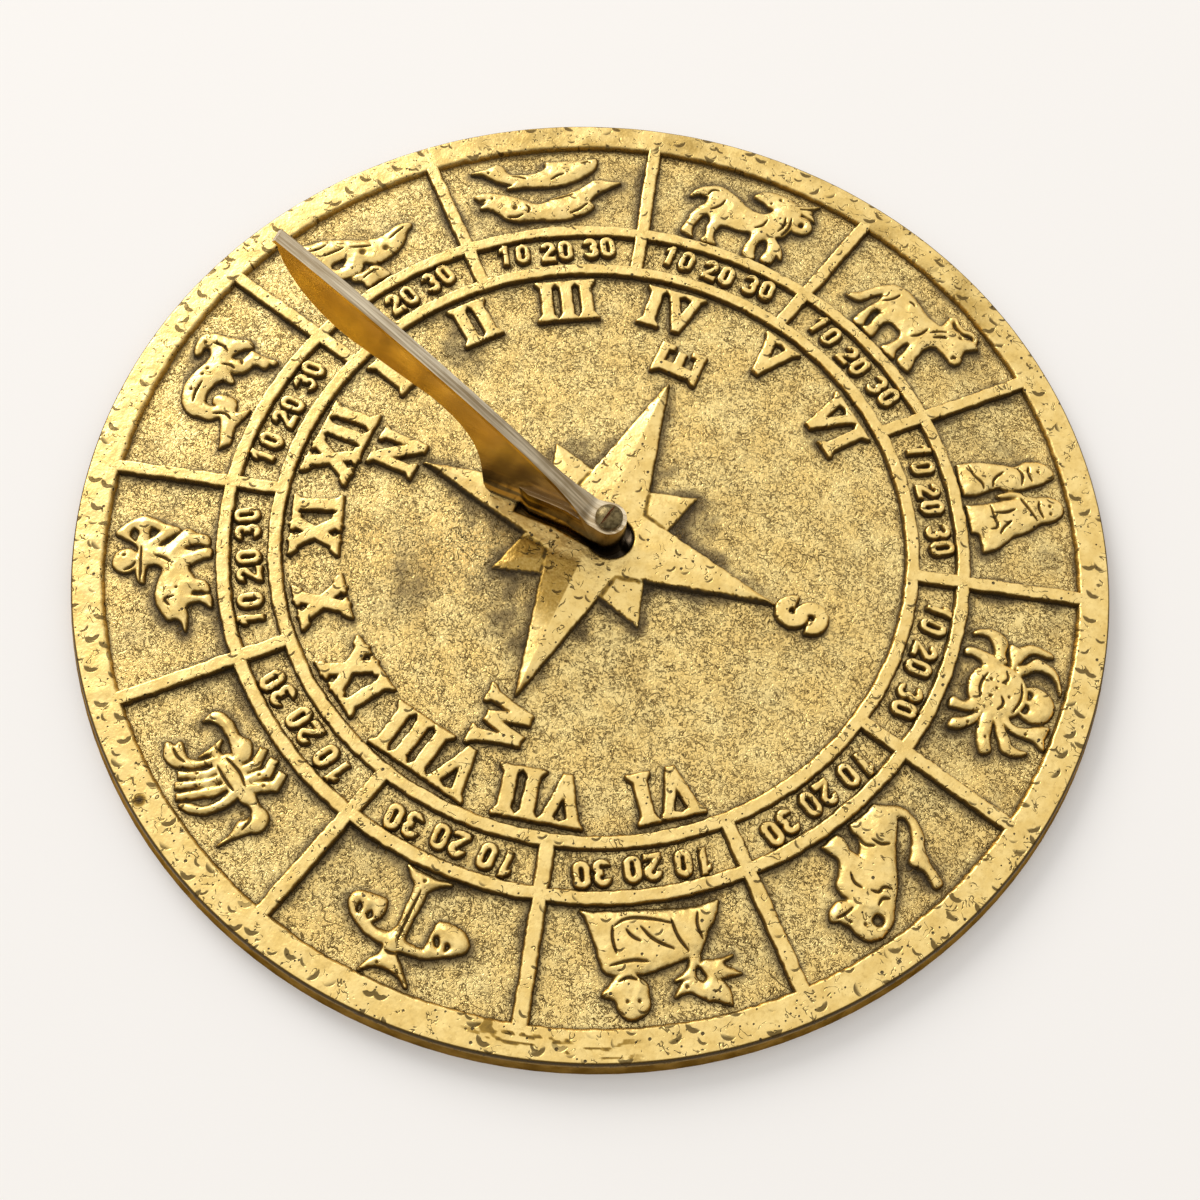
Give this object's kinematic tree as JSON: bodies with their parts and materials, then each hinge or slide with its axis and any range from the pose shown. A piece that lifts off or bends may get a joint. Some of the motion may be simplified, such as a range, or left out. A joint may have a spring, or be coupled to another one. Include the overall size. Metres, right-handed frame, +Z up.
{
  "type": "horizontal garden sundial",
  "caption": "Round cast brass sundial with a raised border, zodiac reliefs, Roman hours, a compass star and a tall blade gnomon held by a slotted screw.",
  "frame": {"origin": "centre of the dial's underside", "axes": "+Z up out of the dial, +Y towards the dial's north point and the gnomon's tip, +X east"},
  "size_m": [0.254, 0.254, 0.0795],
  "materials": {
    "field_brass": "cast, grainy, with dark patina",
    "worn_brass": "cast, high spots rubbed bright",
    "gnomon_brass": "smooth, amber, with a pale worn edge",
    "screw_steel": "brown patina"
  },
  "bodies": {
    "dial": {"dial_plate": "field_brass", "rim_band": "worn_brass", "outer_ring": "worn_brass", "inner_ring": "worn_brass", "figure_ribs": "worn_brass", "number_ribs": "worn_brass", "hour_numerals": "worn_brass", "degree_numbers": "worn_brass", "compass_star": "worn_brass", "compass_letters": "worn_brass", "aquarius": "worn_brass", "pisces": "worn_brass", "aries": "worn_brass", "taurus": "worn_brass", "gemini": "worn_brass", "cancer": "worn_brass", "leo": "worn_brass", "virgo": "worn_brass", "libra": "worn_brass", "scorpio": "worn_brass", "sagittarius": "worn_brass", "capricorn": "worn_brass", "gnomon_screw": "screw_steel"},
    "gnomon": {"gnomon": "gnomon_brass"}
  },
  "joints": [
    {"name": "gnomon_swivel", "type": "hinge", "parent": "dial", "child": "gnomon", "pos_m": [0, -0.0031, 0.013], "axis": [0, 0, 1], "range_deg": [-2, 2]}
  ]
}
